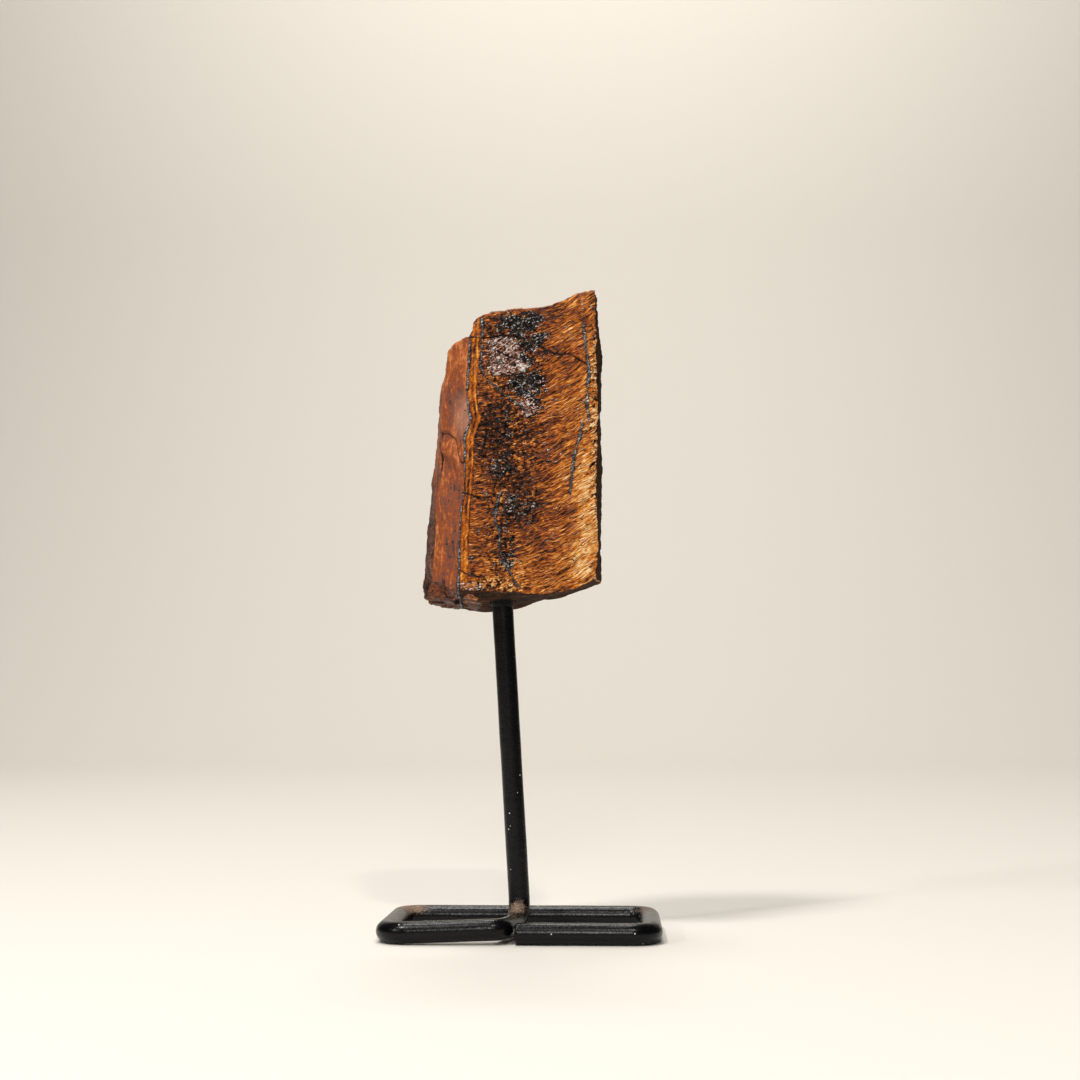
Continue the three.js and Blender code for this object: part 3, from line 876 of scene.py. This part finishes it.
def paint_material():
    """Black paint over steel: a soft gloss with a slight skin, dust where it settles and chips."""
    graph = Graph("black_paint")
    place = graph.place()
    skin = graph.noise(place, (1.4, 1.4, 1.4), 3.0, 0.55)
    grain = graph.noise(place, (0.35, 0.35, 0.35), 2.0, 0.6)
    cloud = graph.noise(place, (5.0, 5.0, 5.0), 3.0, 0.6)
    base = graph.ramp(graph.sum((cloud, 0.8), (grain, 0.4), 0.5), [(0.2, "030304"), (0.8, "08080a")])
    powder = graph.noise(place, (0.6, 0.6, 0.6), 4.0, 0.75, 0.6)
    dust = graph.step(graph.sum(graph.value("dust"), (powder, 2.2)), 0.35, 0.95)
    dusty = graph.sum((grain, 1.4), 0.5)
    dusty = graph.ramp(dusty, [(0.2, "4a3a30"), (0.6, "8b7361"), (0.9, "c9b6a2")])
    colour = graph.mix(graph.math("MULTIPLY", dust, 0.85), base, dusty)
    spot = graph.cells(place, 2.0)
    chance = graph.cells(place, 2.0, "Color")
    chance = graph.add("ShaderNodeSeparateColor", {0: chance})
    chip = graph.math("MULTIPLY", graph.step(spot, 0.1, 0.06), graph.step(chance, 0.6, 0.62))
    chip = graph.math("MULTIPLY", chip, graph.value("wear"))
    colour = graph.mix(chip, colour, srgb("c9c6c0"))
    gloss = graph.sum((cloud, 0.12), (grain, 0.16), (dust, 0.45), 0.26)
    normal = graph.bump(graph.sum((skin, 1.0), (grain, 0.35), (dust, 0.5)), 0.06, 0.7)
    return graph.finish(colour, gloss, 0.22, normal)


def chamfered(places, ways):
    """The route with a chamfer at both ends, and the rod's radius at each station."""
    start = [places[0], places[0] + ways[0] * END_CHAMFER]
    end = [places[-1] - ways[-1] * END_CHAMFER, places[-1]]
    places = np.array([*start, *places[1:-1], *end])
    ways = np.array([ways[0], *ways, ways[-1]])
    radii = np.full(len(places), ROD_RADIUS)
    radii[[0, -1]] -= END_CHAMFER
    return places, ways, radii


def settled_dust(points, normals):
    """Where dust lies: the back corners, the elbow's upper side and a little on the front turn."""
    x, y, z = points.T
    low, high = (np.array(corner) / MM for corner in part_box("stand"))
    up = smooth(-0.1, 0.7, normals[:, 2])
    back_left = np.exp(-(((x - low[0] - 5) / 5) ** 2) - ((y - high[1] + 5) / 6) ** 2)
    back_right = np.exp(-(((x - high[0] + 3) / 4) ** 2) - ((y - high[1] + 6) / 7) ** 2)
    turn = np.exp(-(((x - TURN_X) / 3) ** 2) - ((y + 15) / 3) ** 2) * (z < 9)
    elbow = (points - np.array([POST_FOOT_X - 0.6, -3.0, 6.3])) / 2.2
    elbow = np.exp(-(elbow ** 2).sum(axis=1)) * (normals[:, 1] < 0.1)
    return up * (1.15 * back_left + 0.7 * back_right + 0.25 * turn) + 1.2 * elbow


def make_stand():
    """The rod swept along its route, slightly uneven above the surface that it rests on."""
    places, ways, radii = chamfered(*rod_route())
    points, faces = swept(places, ways, radii, ROD_SIDES)
    mesh = bpy.data.meshes.new("stand_rod")
    mesh.from_pydata(points * MM, [], faces)
    mesh.update()
    normals = mesh_points(mesh, "normal")
    height = points[:, 2]
    lump = 0.03 * noise(points / 5.0, 81) + 0.008 * noise(points / 1.5, 82)
    lump = lump * smooth(0.6, 1.6, height)
    set_points(mesh, (points + normals * lump[:, None]) * MM)
    add_value(mesh, "dust", settled_dust(points, normals))
    add_value(mesh, "wear", smooth(62.0, 40.0, height) * 0.9 + 0.1)
    link_piece("stand_rod", mesh, "stand", paint_material())


# ---- Glue ----

GLUE_SIDES = 72
GLUE_BORE = 2.5
# From the collar's lip to the top of the hole: shares of the height, and the radius at each.
GLUE_LEVELS = [0.0, 0.01, 0.035, 0.075, 0.125, 0.185, 0.25, 0.42, 0.67, 1.0]
GLUE_RADII = [2.52, 2.6, 2.68, 2.72, 2.76, 2.8, 2.85, 2.95, 3.0, 3.0]


def glue_material():
    """Black glue with a dull wrinkled skin."""
    graph = Graph("dark_glue")
    place = graph.place()
    wrinkle = graph.noise(place, (0.9, 0.9, 0.5), 3.0, 0.6, 1.0)
    shade = graph.sum((wrinkle, 0.9), 0.5)
    colour = graph.ramp(shade, [(0.2, "050505"), (0.6, "0d0c0b"), (0.9, "2a2420")])
    normal = graph.bump(wrinkle, 0.3, 0.8)
    return graph.finish(colour, 0.4, 0.15, normal)


def post_ring(height, radius):
    """A ring of points round the post at a height."""
    around = np.arange(GLUE_SIDES) / GLUE_SIDES * 2 * math.pi
    flat = np.stack([np.cos(around), np.sin(around), 0.0 * around], axis=1)
    return post_point(height) + radius * flat


def make_glue():
    """A wrinkled collar round the post that fills the hole's mouth, over the CAD sleeve's place."""
    low, high = (np.array(corner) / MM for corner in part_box("glue_collar"))
    heights = low[2] + np.array(GLUE_LEVELS) * (high[2] - low[2])
    rings = [post_ring(height, radius) for height, radius in zip(heights, GLUE_RADII)]
    rings += [post_ring(height, GLUE_BORE) for height in heights[[-1, 0]]]
    points = np.concatenate(rings)
    faces = []
    for ring in range(len(rings)):
        here, there = ring * GLUE_SIDES, (ring + 1) % len(rings) * GLUE_SIDES
        for i in range(GLUE_SIDES):
            j = (i + 1) % GLUE_SIDES
            faces.append((here + i, here + j, there + j, there + i))
    mesh = bpy.data.meshes.new("glue_ring")
    mesh.from_pydata(points * MM, [], faces)
    mesh.update()
    outward = points - np.array([post_point(height) for height in points[:, 2]])
    outward /= np.linalg.norm(outward, axis=1)[:, None]
    lump = 0.14 * noise(points / 1.3, 91) + 0.08 * noise(points / 0.6, 92)
    outside = np.arange(len(points)) < len(heights) * GLUE_SIDES
    lump = lump * outside * (points[:, 2] < heights[6])
    set_points(mesh, (points + outward * lump[:, None]) * MM)
    link_piece("glue_ring", mesh, "glue_collar", glue_material())


# ---- Stage, lights and camera ----


def make_stage():
    """A pale floor that sweeps up behind the object."""
    half_width = 1.6
    front, back, top = -1.4, 0.9, 1.8
    bend = 0.5
    profile = [(front, 0.0), (back, 0.0)]
    for angle in np.linspace(0.0, math.pi / 2, 24)[1:]:
        profile.append((back + bend * math.sin(angle), bend - bend * math.cos(angle)))
    profile.append((back + bend, top))
    points = [(x, y, z) for y, z in profile for x in (-half_width, half_width)]
    faces = [(2 * i, 2 * i + 1, 2 * i + 3, 2 * i + 2) for i in range(len(profile) - 1)]
    mesh = bpy.data.meshes.new("sweep")
    mesh.from_pydata(points, [], faces)
    mesh.polygons.foreach_set("use_smooth", [True] * len(faces))
    graph = Graph("pale_sweep")
    mesh.materials.append(graph.finish(srgb("dad6cf"), 0.9))
    sweep = bpy.data.objects.new("sweep", mesh)
    bpy.context.scene.collection.objects.link(sweep)


def add_light(name, place, size, watts, colour="ffffff", target=(0.0, 0.0, 0.09)):
    """A round area lamp, in metres and watts, that looks at the target."""
    lamp = bpy.data.lights.new(name, "AREA")
    lamp.shape = "DISK"
    lamp.size = size
    lamp.energy = watts
    lamp.color = srgb(colour)[:3]
    light = bpy.data.objects.new(name, lamp)
    light.location = place
    light.rotation_euler = (Vector(target) - Vector(place)).to_track_quat("-Z", "Y").to_euler()
    bpy.context.scene.collection.objects.link(light)


def make_lights():
    """Soft lamps above and in front, two small ones for glints, and one for the wall."""
    add_light("key", (-0.34, -0.45, 0.95), 0.16, 6.4, "fffaf2")
    add_light("front", (0.02, -0.95, 0.42), 0.16, 2.4)
    add_light("top", (-0.1, 0.1, 1.1), 0.3, 4.2)
    add_light("glint_middle", (0.12, -0.5, 0.62), 0.04, 1.4, "fff6ea")
    add_light("glint_left", (-0.55, -0.5, 0.4), 0.05, 1.3)
    add_light("wall", (0.0, 0.75, 1.3), 0.5, 10.5, "fffaf2", (0.0, 1.4, 0.3))
    world = bpy.data.worlds.new("studio")
    bpy.context.scene.world = world
    world.use_nodes = True
    background = world.node_tree.nodes["Background"]
    background.inputs[0].default_value = srgb("f4f2ee")
    background.inputs[1].default_value = 0.06


def make_camera():
    """A camera low in front, slightly to the right, that looks a little up."""
    data = bpy.data.cameras.new("camera")
    data.sensor_width = SENSOR_WIDTH
    data.lens = CAMERA_LENS
    data.clip_start = 0.01
    data.clip_end = 20.0
    camera = bpy.data.objects.new("camera", data)
    camera.location = [value * MM for value in CAMERA_AT]
    camera.rotation_euler = (math.radians(90.0 + CAMERA_TILT), 0.0, math.radians(CAMERA_TURN))
    bpy.context.scene.collection.objects.link(camera)
    bpy.context.scene.camera = camera


make_camera()
make_stage()
make_lights()
make_stone()
make_stand()
make_glue()
bpy.context.scene.view_settings.view_transform = "Standard"
